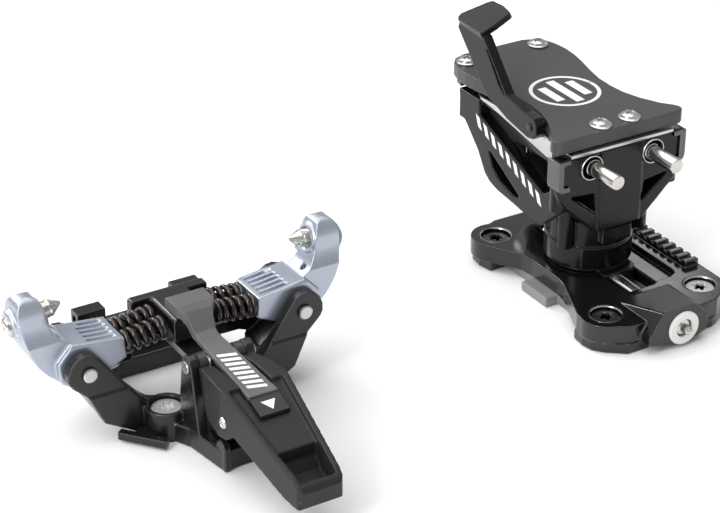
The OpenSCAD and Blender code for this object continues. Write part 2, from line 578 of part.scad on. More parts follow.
toe_base();
toe_mounting_screws();
crampon_bracket();
leash_tab();
anti_ice_block();
wing_axle_left();
wing_axle_right();
lever_axle();
wing_left();
wing_right();
toe_pin_left();
toe_pin_right();
toe_pin_nut_left();
toe_pin_nut_right();
wing_springs_left();
wing_springs_right();
spring_rods_left();
spring_rods_right();
centre_block();
toe_lever();
lever_arm();
lever_window();
lift_fork();
lever_spacers();
lever_rivets();
heel_base();
heel_base_pad();
heel_mounting_screws();
adjuster_spindle();
spindle_washer();
carriage();
post_circlip();
tower_frame();
spring_housing();
steel_plate();
cap();
cap_screws();
side_clips();
heel_pin_left();
heel_pin_right();
heel_pin_pivots();
release_block();
release_springs();
release_screw_left();
release_screw_right();
lateral_screw();
lateral_spring();
lateral_plunger();
heel_lifter();
lifter_pin();
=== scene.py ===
import bpy, bmesh, json, math
from mathutils import Vector, Matrix


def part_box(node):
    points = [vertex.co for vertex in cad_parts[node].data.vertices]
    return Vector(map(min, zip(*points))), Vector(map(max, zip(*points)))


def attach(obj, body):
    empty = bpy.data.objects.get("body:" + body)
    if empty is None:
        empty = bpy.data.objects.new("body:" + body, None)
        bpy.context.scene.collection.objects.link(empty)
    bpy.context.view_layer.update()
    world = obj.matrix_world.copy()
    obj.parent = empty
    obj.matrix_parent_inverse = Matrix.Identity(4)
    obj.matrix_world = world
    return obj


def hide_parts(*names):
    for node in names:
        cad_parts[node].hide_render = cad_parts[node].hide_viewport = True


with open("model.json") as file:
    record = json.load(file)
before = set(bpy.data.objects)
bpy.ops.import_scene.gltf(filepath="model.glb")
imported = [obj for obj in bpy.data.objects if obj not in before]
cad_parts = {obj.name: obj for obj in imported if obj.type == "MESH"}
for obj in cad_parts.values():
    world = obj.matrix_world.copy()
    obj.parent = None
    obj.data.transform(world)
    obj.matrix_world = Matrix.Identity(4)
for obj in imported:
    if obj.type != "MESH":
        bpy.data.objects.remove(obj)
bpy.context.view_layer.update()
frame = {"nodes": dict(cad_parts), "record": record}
MM = 0.001
scene = bpy.context.scene


def mid(node):
    lo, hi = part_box(node)
    return (lo + hi) / 2


# origins of the two units on the floor: 16 mm behind the lever axle, and amid the heel screws
TOE = Vector((mid("toe_base").x, mid("lever_axle").y + 0.016, 0))
HEEL = Vector((mid("heel_base").x, mid("heel_mounting_screws").y, 0))


def T(x, y, z):
    return TOE + Vector((x, y, z)) * MM


def H(x, y, z):
    return HEEL + Vector((x, y, z)) * MM


# places in millimetres, in the frames of the two units
TOE_SCREWS = ((-12.5, -6.9, 6), (12.5, -6.9, 6), (-15, 28.6, 5), (15, 28.6, 5))
HEEL_SCREWS = ((-18, -29.65), (18, -29.65), (-18, 29.65), (18, 29.65))
PIN_HEIGHT = 48.3
PIN_OFFSET = 11
CAP_TOP = 59


# ------------------------------------------------------------ materials
def material(name, colour, metallic=0.0, rough=0.4, rough_var=0.08, noise=60.0, tint=0.12, bump=0.02,
             bump_scale=900.0, wear_and_highlight=None, wear_and_highlight_amount=0.5, coat=0.0, specular=0.5, coat_rough=0.1,
             streak=None):
    """A surface with colour drift, uneven roughness, a fine grain and lighter edges that are partly wear
    and partly a painted edge highlight.
    """
    m = bpy.data.materials.new(name)
    m.use_nodes = True
    t = m.node_tree
    n, l = t.nodes, t.links
    n.clear()
    out = n.new("ShaderNodeOutputMaterial")
    b = n.new("ShaderNodeBsdfPrincipled")
    l.new(b.outputs[0], out.inputs[0])
    b.inputs["Metallic"].default_value = metallic
    b.inputs["Coat Weight"].default_value = coat
    b.inputs["Coat Roughness"].default_value = coat_rough
    b.inputs["Specular IOR Level"].default_value = specular
    co = n.new("ShaderNodeTexCoord")
    mp = n.new("ShaderNodeMapping")
    mp.inputs["Scale"].default_value = streak or (1, 1, 1)
    l.new(co.outputs["Object"], mp.inputs[0])
    cloud = n.new("ShaderNodeTexNoise")
    cloud.inputs["Scale"].default_value = noise
    cloud.inputs["Detail"].default_value = 4
    l.new(mp.outputs[0], cloud.inputs["Vector"])
    grain = n.new("ShaderNodeTexNoise")
    grain.inputs["Scale"].default_value = bump_scale
    grain.inputs["Detail"].default_value = 3
    l.new(mp.outputs[0], grain.inputs["Vector"])
    ramp = n.new("ShaderNodeValToRGB")
    dark = [c * (1 - tint) for c in colour]
    lite = [min(1, c * (1 + tint)) for c in colour]
    ramp.color_ramp.elements[0].position = 0.3
    ramp.color_ramp.elements[1].position = 0.7
    ramp.color_ramp.elements[0].color = (*dark, 1)
    ramp.color_ramp.elements[1].color = (*lite, 1)
    l.new(cloud.outputs["Fac"], ramp.inputs[0])
    last = ramp.outputs[0]
    # convex edges lightened by pointiness: partly real wear, partly a painted highlight on rims and edges
    if wear_and_highlight:
        geo = n.new("ShaderNodeNewGeometry")
        edge = n.new("ShaderNodeMapRange")
        edge.inputs["From Min"].default_value = 0.52
        edge.inputs["From Max"].default_value = 0.62
        l.new(geo.outputs["Pointiness"], edge.inputs["Value"])
        amount = n.new("ShaderNodeMath")
        amount.operation = "MULTIPLY"
        amount.inputs[1].default_value = wear_and_highlight_amount
        l.new(edge.outputs[0], amount.inputs[0])
        mix = n.new("ShaderNodeMix")
        mix.data_type = "RGBA"
        mix.inputs["B"].default_value = (*wear_and_highlight, 1)
        l.new(amount.outputs[0], mix.inputs["Factor"])
        l.new(last, mix.inputs["A"])
        last = mix.outputs["Result"]
    l.new(last, b.inputs["Base Color"])
    rr = n.new("ShaderNodeMapRange")
    rr.inputs["From Min"].default_value = 0.3
    rr.inputs["From Max"].default_value = 0.7
    rr.inputs["To Min"].default_value = max(0.02, rough - rough_var)
    rr.inputs["To Max"].default_value = rough + rough_var
    l.new(cloud.outputs["Fac"], rr.inputs["Value"])
    l.new(rr.outputs[0], b.inputs["Roughness"])
    bp = n.new("ShaderNodeBump")
    bp.inputs["Strength"].default_value = bump
    bp.inputs["Distance"].default_value = 0.0004
    l.new(grain.outputs["Fac"], bp.inputs["Height"])
    l.new(bp.outputs[0], b.inputs["Normal"])
    return m


# the wear colours below lighten convex edges: partly wear, partly a painted edge highlight, as on the rims
# of the toe base
M = {
    "base_black": material("base_black", (0.006, 0.006, 0.0065), 0.1, 0.2, 0.05, bump=0.04,
                           wear_and_highlight=(0.2, 0.2, 0.21),
                           wear_and_highlight_amount=0.6, coat=0.4, coat_rough=0.12),
    "tower_black": material("tower_black", (0.004, 0.004, 0.0045), 0.0, 0.22, 0.04, bump=0.03,
                            wear_and_highlight=(0.06, 0.06, 0.065),
                            wear_and_highlight_amount=0.5, coat=0.12, coat_rough=0.08, specular=0.25),
    "toe_black": material("toe_black", (0.008, 0.008, 0.0084), 0.1, 0.3, 0.05, bump=0.05,
                          wear_and_highlight=(0.24, 0.24, 0.245),
                          wear_and_highlight_amount=0.6, coat=0.15, coat_rough=0.2),
    "wing_alloy": material("wing_alloy", (0.43, 0.47, 0.545), 0.75, 0.33, 0.05, tint=0.05, bump=0.05,
                           bump_scale=1500,
                           wear_and_highlight=(0.86, 0.89, 0.95), wear_and_highlight_amount=0.8),
    "pin_steel": material("pin_steel", (0.62, 0.60, 0.57), 1.0, 0.2, 0.05, tint=0.06, bump=0.03,
                          streak=(1, 1, 6)),
    "screw_steel": material("screw_steel", (0.6, 0.6, 0.6), 1.0, 0.26, 0.08, tint=0.08, bump=0.05),
    "screw_dark": material("screw_dark", (0.10, 0.10, 0.10), 0.9, 0.3, 0.08, bump=0.05,
                           wear_and_highlight=(0.5, 0.5, 0.5),
                           wear_and_highlight_amount=0.7),
    "spring_steel": material("spring_steel", (0.06, 0.052, 0.05), 0.85, 0.2, 0.06, bump=0.03,
                             wear_and_highlight=(0.16, 0.14, 0.13)),
    "lever_plastic": material("lever_plastic", (0.016, 0.016, 0.0165), 0.0, 0.46, 0.05, bump=0.16,
                              bump_scale=1400,
                              wear_and_highlight=(0.075, 0.075, 0.077), wear_and_highlight_amount=0.6, specular=0.32),
    "arm_grey": material("arm_grey", (0.12, 0.12, 0.122), 0.1, 0.46, 0.05, bump=0.1, wear_and_highlight=(0.2, 0.2, 0.2),
                         wear_and_highlight_amount=0.5),
    "cap_grey": material("cap_grey", (0.055, 0.055, 0.057), 0.2, 0.42, 0.05, bump=0.08,
                         wear_and_highlight=(0.17, 0.17, 0.18),
                         wear_and_highlight_amount=0.5),
    "pad_grey": material("pad_grey", (0.24, 0.235, 0.23), 0.0, 0.5, 0.06, bump=0.1),
    "black_plastic": material("black_plastic", (0.006, 0.006, 0.006), 0.0, 0.3, 0.06, bump=0.08,
                              wear_and_highlight=(0.06, 0.06, 0.06), wear_and_highlight_amount=0.5),
    "white_plastic": material("white_plastic", (0.82, 0.82, 0.80), 0.0, 0.4, 0.05, tint=0.04, bump=0.03),
    "fork_steel": material("fork_steel", (0.55, 0.55, 0.56), 1.0, 0.3, 0.06, tint=0.06, bump=0.04),
    "screw_bright": material("screw_bright", (0.66, 0.66, 0.65), 0.5, 0.36, 0.08, tint=0.08, bump=0.05,
                             wear_and_highlight=(0.9, 0.9, 0.9), wear_and_highlight_amount=0.6),
    "clip_steel": material("clip_steel", (0.13, 0.13, 0.13), 1.0, 0.28, 0.06, tint=0.08, bump=0.04,
                           wear_and_highlight=(0.7, 0.7, 0.7), wear_and_highlight_amount=0.6),
    "mark_white": material("mark_white", (0.85, 0.85, 0.85), 0.0, 0.5, 0.05, tint=0.03, bump=0.02),
}

for part in frame["record"]["subparts"]:
    o = frame["nodes"][part["node"]]
    o.data.materials.clear()
    o.data.materials.append(M[part["material_slot"]])


# ------------------------------------------------------------ helpers
def finish_piece(o, body, mat, angle=None, stands_for=()):
    for p in o.data.polygons:
        p.use_smooth = True
    if angle:
        o.data.set_sharp_from_angle(angle=math.radians(angle))
    o.data.materials.clear()
    o.data.materials.append(M[mat])
    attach(o, body)
    if stands_for:
        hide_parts(*stands_for)
    return o


def new_object(name, verts, faces):
    me = bpy.data.meshes.new(name)
    me.from_pydata([tuple(v) for v in verts], [], faces)
    me.validate()
    o = bpy.data.objects.new(name, me)
    scene.collection.objects.link(o)
    return o


def join(name, parts):
    bm = bmesh.new()
    for p in parts:
        me = p if isinstance(p, bpy.types.Mesh) else p.data
        tmp = me.copy()
        if not isinstance(p, bpy.types.Mesh):
            tmp.transform(p.matrix_world)
        bm.from_mesh(tmp)
        bpy.data.meshes.remove(tmp)
    bmesh.ops.remove_doubles(bm, verts=bm.verts, dist=2e-6)
    bmesh.ops.recalc_face_normals(bm, faces=bm.faces)
    me = bpy.data.meshes.new(name)
    bm.to_mesh(me)
    bm.free()
    o = bpy.data.objects.new(name, me)
    scene.collection.objects.link(o)
    for p in parts:
        if not isinstance(p, bpy.types.Mesh):
            bpy.data.objects.remove(p)
    return o


def bake_modifiers(o):
    dg = bpy.context.evaluated_depsgraph_get()
    me = bpy.data.meshes.new_from_object(o.evaluated_get(dg), depsgraph=dg)
    o.modifiers.clear()
    old = o.data
    o.data = me
    bpy.data.meshes.remove(old)


def soften(o, size, rounds, cutters=()):
    """Turns the joined solids into one skin with softened edges."""
    r = o.modifiers.new("skin", "REMESH")
    r.mode = "VOXEL"
    r.voxel_size = size * MM
    for c in cutters:
        d = o.modifiers.new("cut", "BOOLEAN")
        d.operation = "DIFFERENCE"
        d.object = c
        d.solver = "EXACT"
    s = o.modifiers.new("soft", "SMOOTH")
    s.factor = 0.5
    s.iterations = rounds
    bake_modifiers(o)
    return o


def cad(name, *nodes):
    return join(name, [frame["nodes"][n].data for n in nodes])


def soft_node(node, body, mat, size=0.3, rounds=6, extra=(), name=None):
    parts = [frame["nodes"][node].data, *extra]
    o = join(name or node + "_skin", parts)
    soften(o, size, rounds)
    return finish_piece(o, body, mat, stands_for=(node,))


def bevel_node(node, body, mat, width=0.3, segments=2, name=None, angle=28):
    """The CAD shape with its flat faces merged and its edges rounded."""
    o = cad(name or node + "_edges", node)
    bm = bmesh.new()
    bm.from_mesh(o.data)
    bmesh.ops.dissolve_limit(bm, angle_limit=math.radians(1.0), verts=bm.verts, edges=bm.edges)
    bm.to_mesh(o.data)
    bm.free()
    b = o.modifiers.new("edge", "BEVEL")
    b.width = width * MM
    b.segments = segments
    b.limit_method = "ANGLE"
    b.angle_limit = math.radians(angle)
    b.use_clamp_overlap = True
    b.harden_normals = False
    bake_modifiers(o)
    return finish_piece(o, body, mat, angle=35, stands_for=(node,))


def lathe(name, profile, origin, axis, segments=48):
    """profile: (radius, height) in mm, turned about the axis through origin."""
    rot = Vector(axis).normalized().to_track_quat("Z", "Y").to_matrix()
    verts, faces = [], []
    rings = []
    for r, h in profile:
        if r < 1e-6:
            rings.append([len(verts)])
            verts.append(origin + rot @ Vector((0, 0, h * MM)))
            continue
        ring = []
        for i in range(segments):
            a = 2 * math.pi * i / segments
            ring.append(len(verts))
            verts.append(origin + rot @ Vector((r * MM * math.cos(a), r * MM * math.sin(a), h * MM)))
        rings.append(ring)
    for a, b in zip(rings, rings[1:]):
        for i in range(segments):
            j = (i + 1) % segments
            if len(a) == 1 and len(b) == 1:
                continue
            if len(a) == 1:
                faces.append((a[0], b[j], b[i]))
            elif len(b) == 1:
                faces.append((a[i], a[j], b[0]))
            else:
                faces.append((a[i], a[j], b[j], b[i]))
    o = new_object(name, verts, faces)
    bm = bmesh.new()
    bm.from_mesh(o.data)
    bmesh.ops.recalc_face_normals(bm, faces=bm.faces)
    bm.to_mesh(o.data)
    bm.free()
    return o


def field(name, radius_steps, segments, height, origin, axis, spin=0.0):
    """A round skin of rings whose height is height(r, angle), in mm; a head with a recess in it."""
    rot = Vector(axis).normalized().to_track_quat("Z", "Y").to_matrix()
    verts = [origin + rot @ Vector((0, 0, height(0, 0) * MM))]
    faces = []
    for k, r in enumerate(radius_steps):
        for i in range(segments):
            a = 2 * math.pi * i / segments
            verts.append(origin + rot @ Vector((r * MM * math.cos(a + spin), r * MM * math.sin(a + spin),
                                                height(r, a) * MM)))
    for i in range(segments):
        j = (i + 1) % segments
        faces.append((0, 1 + i, 1 + j))
        for k in range(len(radius_steps) - 1):
            a, b = 1 + k * segments, 1 + (k + 1) * segments
            faces.append((a + i, b + i, b + j, a + j))
    # close underneath
    last = 1 + (len(radius_steps) - 1) * segments
    faces.append(tuple(last + i for i in reversed(range(segments))))
    return new_object(name, verts, faces)


def lobes(r0, r1, a, count=6):
    return r0 + (r1 - r0) * (0.5 + 0.5 * math.cos(count * a)) ** 0.8


def step(x, lo, hi):
    t = min(1, max(0, (x - lo) / (hi - lo)))
    return t * t * (3 - 2 * t)


def screw_head(name, origin, axis, top, r, dome, star_in, star_out, depth, spin=0.0):
    """A low domed head with a six-lobe recess. top is the height of the rim."""
    def height(q, a):
        edge = lobes(star_in, star_out, a)
        h = top + dome * (1 - (q / r) ** 2)
        if q > r * 0.92:
            h -= 0.5 * step(q, r * 0.92, r)
        return h - depth * (1 - step(q, edge - 0.14, edge + 0.1))
    steps = [r * k / 40 for k in range(1, 41)]
    o = field(name, steps, 96, height, origin, axis, spin)
    return o


def sweep(name, points, radius, sides=12, closed_ends=True):
    """A round wire along points (metres), with radius in mm."""
    verts, faces = [], []
    n = len(points)
    up = Vector((0, 0, 1))
    prev = None
    for k, p in enumerate(points):
        d = (points[min(k + 1, n - 1)] - points[max(k - 1, 0)]).normalized()
        if prev is None:
            side = d.orthogonal().normalized()
        else:
            side = (prev - d * prev.dot(d)).normalized()
        prev = side
        other = d.cross(side)
        for i in range(sides):
            a = 2 * math.pi * i / sides
            verts.append(p + (side * math.cos(a) + other * math.sin(a)) * radius * MM)
    for k in range(n - 1):
        for i in range(sides):
            j = (i + 1) % sides
            faces.append((k * sides + i, k * sides + j, (k + 1) * sides + j, (k + 1) * sides + i))
    faces.append(tuple(reversed(range(sides))))
    faces.append(tuple((n - 1) * sides + i for i in range(sides)))
    return new_object(name, verts, faces)


def coil(name, origin, axis, length, radius, wire, turns, phase=0.0, dead=1.0):
    """A compression spring with closed ends. Lengths in mm."""
    rot = Vector(axis).normalized().to_track_quat("Z", "Y").to_matrix()
    pts = []
    steps = int(turns * 40)
    span = length - 2 * wire
    for k in range(steps + 1):
        u = k / steps
        t = u * turns
        dt = dead / turns
        if u < dt:
            z = 0.5 * 2 * wire * 0.35 * (u / dt) ** 2
        elif u > 1 - dt:
            z = span - 0.5 * 2 * wire * 0.35 * ((1 - u) / dt) ** 2
        else:
            z = wire * 0.35 + (span - 0.7 * wire) * (u - dt) / (1 - 2 * dt)
        a = 2 * math.pi * t + phase
        pts.append(origin + rot @ Vector(((radius - wire) * math.cos(a), (radius - wire) * math.sin(a),
                                          wire + z)) * MM)
    return sweep(name, pts, wire, 12)


def prism(points, lo, hi, plane, base):
    """A closed prism from an outline. plane 'side' takes (y, z), 'front' (x, z), 'top' (x, y)."""
    def at(p, q):
        a, b = p
        return {"side": base(q, a, b), "front": base(a, q, b), "top": base(a, b, q)}[plane]
    n = len(points)
    verts = [at(p, lo) for p in points] + [at(p, hi) for p in points]
    faces = [tuple(range(n)), tuple(reversed(range(n, 2 * n)))]
    faces += [(i, i + n, (i + 1) % n + n, (i + 1) % n) for i in range(n)]
    return new_object("prism", verts, faces)


def spline(points, steps=6):
    """An open Catmull-Rom curve through the points."""
    pts = [Vector(p) for p in points]
    pts = [pts[0] * 2 - pts[1], *pts, pts[-1] * 2 - pts[-2]]
    out = []
    for i in range(1, len(pts) - 2):
        p0, p1, p2, p3 = pts[i - 1:i + 3]
        for k in range(steps):
            t = k / steps
            out.append(tuple(0.5 * ((2 * p1) + (p2 - p0) * t + (2 * p0 - 5 * p1 + 4 * p2 - p3) * t * t
                                    + (3 * p1 - p0 - 3 * p2 + p3) * t ** 3)))
    out.append(tuple(pts[-2]))
    return out


def tidy_normals(o):
    bm = bmesh.new()
    bm.from_mesh(o.data)
    bmesh.ops.recalc_face_normals(bm, faces=bm.faces)
    bm.to_mesh(o.data)
    bm.free()
    return o


def combine(o, others, how):
    """Boolean of o with each of the others, which are used up."""
    tidy_normals(o)
    for c in others:
        tidy_normals(c)
        d = o.modifiers.new("b", "BOOLEAN")
        d.operation = how
        d.object = c
        d.solver = "EXACT"
        bake_modifiers(o)
        bpy.data.objects.remove(c)
    return o


def capsule(p, q, r, z0, z1, base):
    """A vertical slot cutter with round ends, from p to q in plan."""
    p, q = Vector(p), Vector(q)
    d = (q - p).normalized()
    a0 = math.atan2(d.y, d.x)
    pts = [tuple(q + Vector((math.cos(a0 + t), math.sin(a0 + t))) * r) for t in
           [-math.pi / 2 + math.pi * k / 8 for k in range(9)]]
    pts += [tuple(p + Vector((math.cos(a0 + t), math.sin(a0 + t))) * r) for t in
            [math.pi / 2 + math.pi * k / 8 for k in range(9)]]
    return prism(pts, z0, z1, "top", base)


def decal(name, shapes, place, body, lift=0.03, thick=0.05):
    """Thin printed shapes on a surface. place(u, v, h) gives the point h mm above the surface."""
    parts = []
    for pts in shapes:
        n = len(pts)
        verts = [place(u, v, lift) for u, v in pts] + [place(u, v, lift + thick) for u, v in pts]
        faces = [tuple(range(n)), tuple(reversed(range(n, 2 * n)))]
        faces += [(i, i + n, (i + 1) % n + n, (i + 1) % n) for i in range(n)]
        parts.append(tidy_normals(new_object("mark", verts, faces)))
    return finish_piece(join(name, parts), body, "mark_white", 20)


# ------------------------------------------------------------ toe unit
soft_node("toe_base", "bases", "toe_black", 0.28, 6)
soft_node("leash_tab", "bases", "toe_black", 0.2, 4)
soft_node("crampon_bracket", "bases", "black_plastic", 0.16, 3)
soft_node("anti_ice_block", "bases", "black_plastic", 0.25, 5)
soft_node("centre_block", "centre", "toe_black", 0.3, 8)

for side, s in (("left", -1), ("right", 1)):
    body = side + "_wing"
    tilt = math.radians(13)
    pin_dir = Vector((-s * math.cos(tilt), 0, math.sin(tilt)))
    root = T(s * 42.4, 8.3, 40)
    boss = lathe("boss", [(0, -6), (5.0, -6), (5.2, -1.2), (4.9, 0.1), (4.3, 0.9), (3.4, 0.9),
                          (3.3, 0.1), (0, 0.1)],
                 root, pin_dir)
    rear = lathe("rear", [(0, -9.2), (4.2, -9.2), (4.8, -8.6), (5.2, -6), (0, -6)], root, pin_dir)
    hub = lathe("hub", [(0, 0.1), (5.6, 0.1), (5.6, 13.3), (0, 13.3)], T(s * 34, 13.4, 24), (0, -1, 0))
    rib = prism([(s * 30, 30.6), (s * 36, 31.3), (s * 40.6, 35.4), (s * 43.6, 42), (s * 44.8, 42),
                 (s * 42.4, 34.6),
                 (s * 38, 29.6), (s * 30, 29.4)], 10.6, 12.9, "front", T)
    arm = spline([(28, 20.2), (32, 18), (36, 18.2), (40.5, 20.6), (44.6, 24.4), (47.4, 28.6), (49.2, 33.4),
                  (50.3, 39), (50.4, 43), (49.2, 45.6), (46.6, 46.6), (44.2, 45.9), (43, 43.6), (42.4, 40),
                  (41.2, 36.6), (39.2, 33.6), (36.6, 31.8)])
    front_view = [(21.2, 30), (20.7, 23.6)] + arm
    top = spline([(-0.5, 30.8), (1.6, 34), (3, 38), (3.4, 42), (4.8, 45.2), (7, 46.6), (9.6, 46.6),
                  (11.8, 45.2),
                  (13, 42), (13.2, 34), (13.6, 30)])
    side_view = [(-0.5, 16)] + top + [(13.6, 16)]
    skin = prism([(s * x, z) for x, z in front_view], -0.5, 13.6, "front", T)
    combine(skin, [prism(side_view, s * 15, s * 58, "side", T)], "INTERSECT")
    away = [(40.6, 12), (60, 12), (60, 60), (36.8, 60), (36.8, 31.9), (41.4, 27)]
    cuts = [prism([(s * x, z) for x, z in away], -3, 1.2, "front", T)]
    cuts += [capsule((s * 23.6, 1.9 + i * 2.4), (s * 31, 1.9 + i * 2.4), 0.62, 29.5, 33, T)
             for i in range(5)]
    cuts += [lathe("hole", [(0, -3), (0.95, -3), (0.95, 3), (0, 3)], T(s * 38.6, 4.6, 33.6),
                   (s * -0.5, -0.2, 0.8), 24)]
    combine(skin, cuts, "DIFFERENCE")
    skin = join("wing_" + side + "_skin", [skin, boss, rear, hub, rib])
    soften(skin, 0.23, 12)
    finish_piece(skin, body, "wing_alloy", stands_for=("wing_" + side,))

    # boot pin: threaded body and a cone with flats
    pts = [(0, -10), (1.6, -10), (1.6, 0), (2.5, 0)]
    for k in range(5):
        z = 0.25 + k * 0.5
        pts += [(2.6, z), (2.6, z + 0.14), (2.42, z + 0.25), (2.42, z + 0.36)]
    pts += [(2.6, 3.0), (2.6, 3.2)]
    body_part = lathe("pin_body", pts + [(0, 3.2)], root, pin_dir, 48)
    rot = pin_dir.to_track_quat("Z", "Y").to_matrix()
    verts, faces, seg, lev = [], [], 64, 24
    for k in range(lev + 1):
        u = k / lev
        h = 3.2 + 3.3 * u
        for i in range(seg):
            a = 2 * math.pi * i / seg
            r = 2.6 * (1 - u) + 0.42 * u
            flute = max(0.0, math.cos(2 * a + 0.8)) ** 6
            r *= 1 - 0.26 * flute * math.sin(math.pi * min(1, u * 1.15 + 0.12))
            verts.append(root + rot @ Vector((r * math.cos(a), r * math.sin(a), h)) * MM)
    for k in range(lev):
        for i in range(seg):
            j = (i + 1) % seg
            faces.append((k * seg + i, k * seg + j, (k + 1) * seg + j, (k + 1) * seg + i))
    faces.append(tuple(reversed(range(seg))))
    faces.append(tuple(lev * seg + i for i in range(seg)))
    cone = new_object("pin_cone", verts, faces)
    finish_piece(join("toe_pin_" + side + "_turned", [body_part, cone]), body, "pin_steel", 30,
                 ("toe_pin_" + side,))
    nut = lathe("nut", [(0, -10.3), (1.7, -10.3), (1.75, -10), (1.9, -10), (2.0, -10.4), (2.7, -10.4),
                        (3.0, -10.1),
                        (3.0, -7.9), (0, -7.9)], root, pin_dir, 48)
    finish_piece(join("toe_pin_nut_" + side + "_turned", [nut]), body, "pin_steel", 30,
                 ("toe_pin_nut_" + side,))

    # springs: closed-end coils on their rods
    lean = math.radians(6)
    spring_dir = Vector((-s * math.cos(lean), 0, math.sin(lean)))
    wires = [coil("wire", T(s * 20.8, y, 26.8), spring_dir, 13.2, 3.65, 0.8, 6.3, 0.6 + y)
             for y in (2.5, 9.9)]
    finish_piece(join("wing_springs_" + side + "_coils", wires), body, "spring_steel",
                 stands_for=("wing_springs_" + side,))
    rods = [lathe("rod", [(0, -5), (1.6, -5), (1.6, 12.4), (2.6, 12.6), (2.7, 12.8), (2.7, 13.2),
                          (2.5, 13.4), (0, 13.4)],
                  T(s * 20.8, y, 26.8), spring_dir) for y in (2.5, 9.9)]
    finish_piece(join("spring_rods_" + side + "_turned", rods), body, "black_plastic", 30,
                 ("spring_rods_" + side,))
    axle = lathe("axle", [(0, -17.9), (1.3, -17.9), (1.5, -17.7), (1.5, 4.6), (2.05, 4.6), (2.2, 4.8),
                          (2.15, 5.3),
                          (1.8, 5.55), (0, 5.6)], T(s * 34, 0, 24), (0, -1, 0))
    finish_piece(join("wing_axle_" + side + "_turned", [axle]), "bases", "fork_steel", 30,
                 ("wing_axle_" + side,))

# lever with its arm, window, fork and rivets
soft_node("toe_lever", "lever", "lever_plastic", 0.3, 7)
soft_node("lever_arm", "lever", "arm_grey", 0.2, 5)
soft_node("lever_window", "lever", "black_plastic", 0.15, 2)
soft_node("lift_fork", "lever", "fork_steel", 0.25, 4)
axle = lathe("axle", [(0, -10.7), (1.8, -10.7), (2.0, -10.5), (2.0, 10.5), (1.8, 10.7), (0, 10.7)],
             T(0, -16, 25), (1, 0, 0))
finish_piece(join("lever_axle_turned", [axle]), "bases", "fork_steel", 30, ("lever_axle",))
heads = [lathe("rivet", [(0, 7.7), (1.8, 7.7), (1.8, 10.1), (1.5, 10.5), (0.9, 10.65), (0.8, 10.45),
                         (0, 10.45)],
               T(0, -37, 18.4), (s, 0, 0)) for s in (-1, 1)]
finish_piece(join("lever_rivets_turned", heads), "lever", "screw_steel", 30, ("lever_rivets",))

screws = []
for x, y, z in TOE_SCREWS:
    screws.append(screw_head("head", T(x, y, z), (0, 0, 1), 1.9, 4.65, 0.35, 1.5, 2.5, 0.9, 0.3))
    screws.append(lathe("shank", [(0, 0.4 - z), (2.5, 0.4 - z), (2.7, 0.8 - z), (2.7, 0), (4.6, 0),
                                  (4.7, 1.3), (0, 1.3)],
                        T(x, y, z), (0, 0, 1)))
finish_piece(join("toe_mounting_screws_turned", screws), "bases", "screw_bright", 40,
             ("toe_mounting_screws",))

# ------------------------------------------------------------ heel unit
soft_node("heel_base", "bases", "base_black", 0.25, 4)
soft_node("heel_base_pad", "bases", "pad_grey", 0.35, 3)
soft_node("carriage", "carriage", "black_plastic", 0.3, 4)
soft_node("tower_frame", "tower", "tower_black", 0.28, 5)
soft_node("side_clips", "tower", "clip_steel", 0.16, 2)
bevel_node("steel_plate", "tower", "fork_steel", 0.12)
soft_node("heel_lifter", "lifter", "tower_black", 0.2, 5)

# the same screws in two finishes by place: the front-right one takes screw_bright as a painted highlight,
# the other three screw_dark as painted shade
heads, dark = [], []
for x, y in HEEL_SCREWS:
    group = heads if (x > 0 and y < 0) else dark
    group.append(screw_head("head", H(x, y, 6), (0, 0, 1), 1.9, 4.65, 0.5, 1.5, 2.4, 1.2, 0.2))
    group.append(lathe("shank", [(0, -5.6), (2.5, -5.6), (2.7, -5.2), (2.7, 0), (4.6, 0), (4.7, 1.4),
                                 (0, 1.4)], H(x, y, 6), (0, 0, 1)))
finish_piece(join("heel_mounting_screws_painted_highlight", heads), "bases", "screw_bright", 40,
             ("heel_mounting_screws",))
finish_piece(join("heel_mounting_screws_painted_shade", dark), "bases", "screw_dark", 40, ("heel_mounting_screws",))
rims = [lathe("rim", [(4.75, 2.7), (4.95, 3.02), (5.15, 3.06), (5.19, 2.9), (5.0, 2.6), (4.75, 2.7)],
              H(x, y, 6), (0, 0, 1), 64)
        for x, y in HEEL_SCREWS]
finish_piece(join("heel_screw_rims", rims), "bases", "screw_steel", 40)

# spindle, and the washer round its drive tip
spindle = lathe("spindle", [(0, -48.3), (0.6, -48.3), (1.25, -47.4), (1.25, -44.6), (1.6, -44.4),
                            (2.4, -44.4), (2.5, -44.2),
                            (2.5, 33.2), (2.3, 33.4), (0, 33.4)], H(0, 0, 6.4), (0, 1, 0))
finish_piece(join("adjuster_spindle_turned", [spindle]), "spindle", "pin_steel", 30, ("adjuster_spindle",))
washer = lathe("washer", [(2.95, -44.42), (2.95, -45.2), (3.1, -45.35), (5.1, -45.35), (5.4, -45.1),
                          (5.4, -44.42),
                          (2.95, -44.42)], H(0, 0, 6.4), (0, 1, 0), 64)
finish_piece(join("spindle_washer_turned", [washer]), "bases", "white_plastic", 30, ("spindle_washer",))

soft_node("cap", "tower", "cap_grey", 0.28, 5)

screws = []
for s in (-1, 1):
    for x, y in ((5.4, -5.5), (13.8, 55)):
        o0 = H(s * x, y, CAP_TOP)
        screws.append(lathe("flange", [(0, -4.6), (1.9, -4.6), (1.9, 0), (3.4, 0.02), (3.5, 0.2),
                                       (3.45, 0.5), (3.2, 0.68),
                                       (2.8, 0.72), (2.7, 0.95), (0, 0.95)], o0, (0, 0, 1)))
        screws.append(screw_head("head", o0, (0, 0, 1), 1.2, 2.75, 0.9, 1.1, 1.75, 1.3, 0.4))
finish_piece(join("cap_screws_turned", screws), "tower", "screw_steel", 40, ("cap_screws",))

